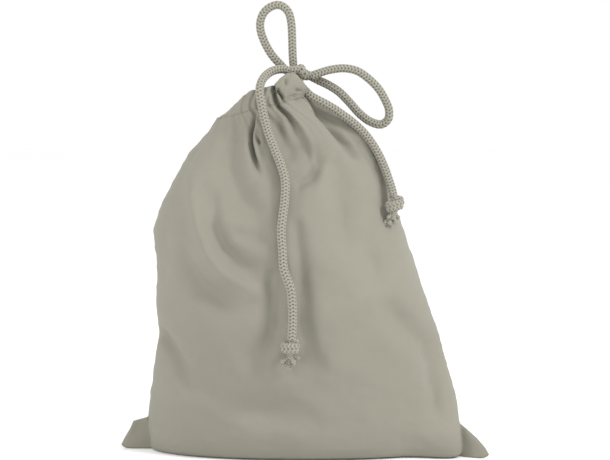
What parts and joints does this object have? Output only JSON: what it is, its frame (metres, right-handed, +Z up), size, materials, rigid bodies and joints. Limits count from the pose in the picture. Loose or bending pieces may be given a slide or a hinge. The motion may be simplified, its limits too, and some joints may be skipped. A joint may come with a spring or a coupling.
{
  "type": "shoe bag",
  "caption": "Stuffed cloth shoe bag with a hem gathered by a thick knitted drawstring, tied in a bow with knotted and frayed ends.",
  "frame": {"origin": "on the floor, at the middle of the body's box as seen from above, cords left out", "axes": "+Z up, -Y the way the front faces, +X the bag's right as seen from the front"},
  "size_m": [0.3299, 0.1675, 0.4136],
  "materials": {
    "cloth": "plain woven cotton cloth, matt, warm grey",
    "cord": "knitted tubular cord, matt, warm grey, a little lighter than the cloth",
    "thread": "spun sewing thread in the cloth's colour"
  },
  "bodies": {
    "bag": {"front_panel": "cloth", "back_panel": "cloth", "front_hem": "cloth", "back_hem": "cloth", "front_hem_stitching": "thread", "back_hem_stitching": "thread", "left_side_seam": "cloth", "right_side_seam": "cloth", "bottom_seam": "cloth", "exit_bartack": "thread", "casing_cord": "cord"},
    "bow": {"bow_knot": "cord", "front_neck_strand": "cord", "back_neck_strand": "cord"},
    "top_loop": {"top_loop": "cord"},
    "right_loop": {"right_loop": "cord"},
    "front_tail": {"front_tail": "cord", "front_end_knot": "cord", "front_frayed_end": "cord"},
    "right_tail": {"right_tail": "cord", "right_end_knot": "cord", "right_frayed_end": "cord"}
  },
  "joints": [
    {"name": "bow_draw", "type": "slide", "parent": "bag", "child": "bow", "axis": [0, 0, 1], "range_m": [0, 0.016]},
    {"name": "top_loop_fold", "type": "hinge", "parent": "bow", "child": "top_loop", "pos_m": [-0.0164, 0.008, 0.355], "axis": [-1, 0, 0], "range_deg": [0, 75]},
    {"name": "right_loop_lift", "type": "hinge", "parent": "bow", "child": "right_loop", "pos_m": [0.005, 0.008, 0.345], "axis": [0, -1, 0], "range_deg": [0, 60]},
    {"name": "front_tail_swing", "type": "hinge", "parent": "bow", "child": "front_tail", "pos_m": [-0.0148, -0.0042, 0.35], "axis": [-1, 0, 0], "range_deg": [0, 45]},
    {"name": "right_tail_swing", "type": "hinge", "parent": "bow", "child": "right_tail", "pos_m": [0.0004, -0.0056, 0.3378], "axis": [0, -1, 0], "range_deg": [0, 40]}
  ]
}
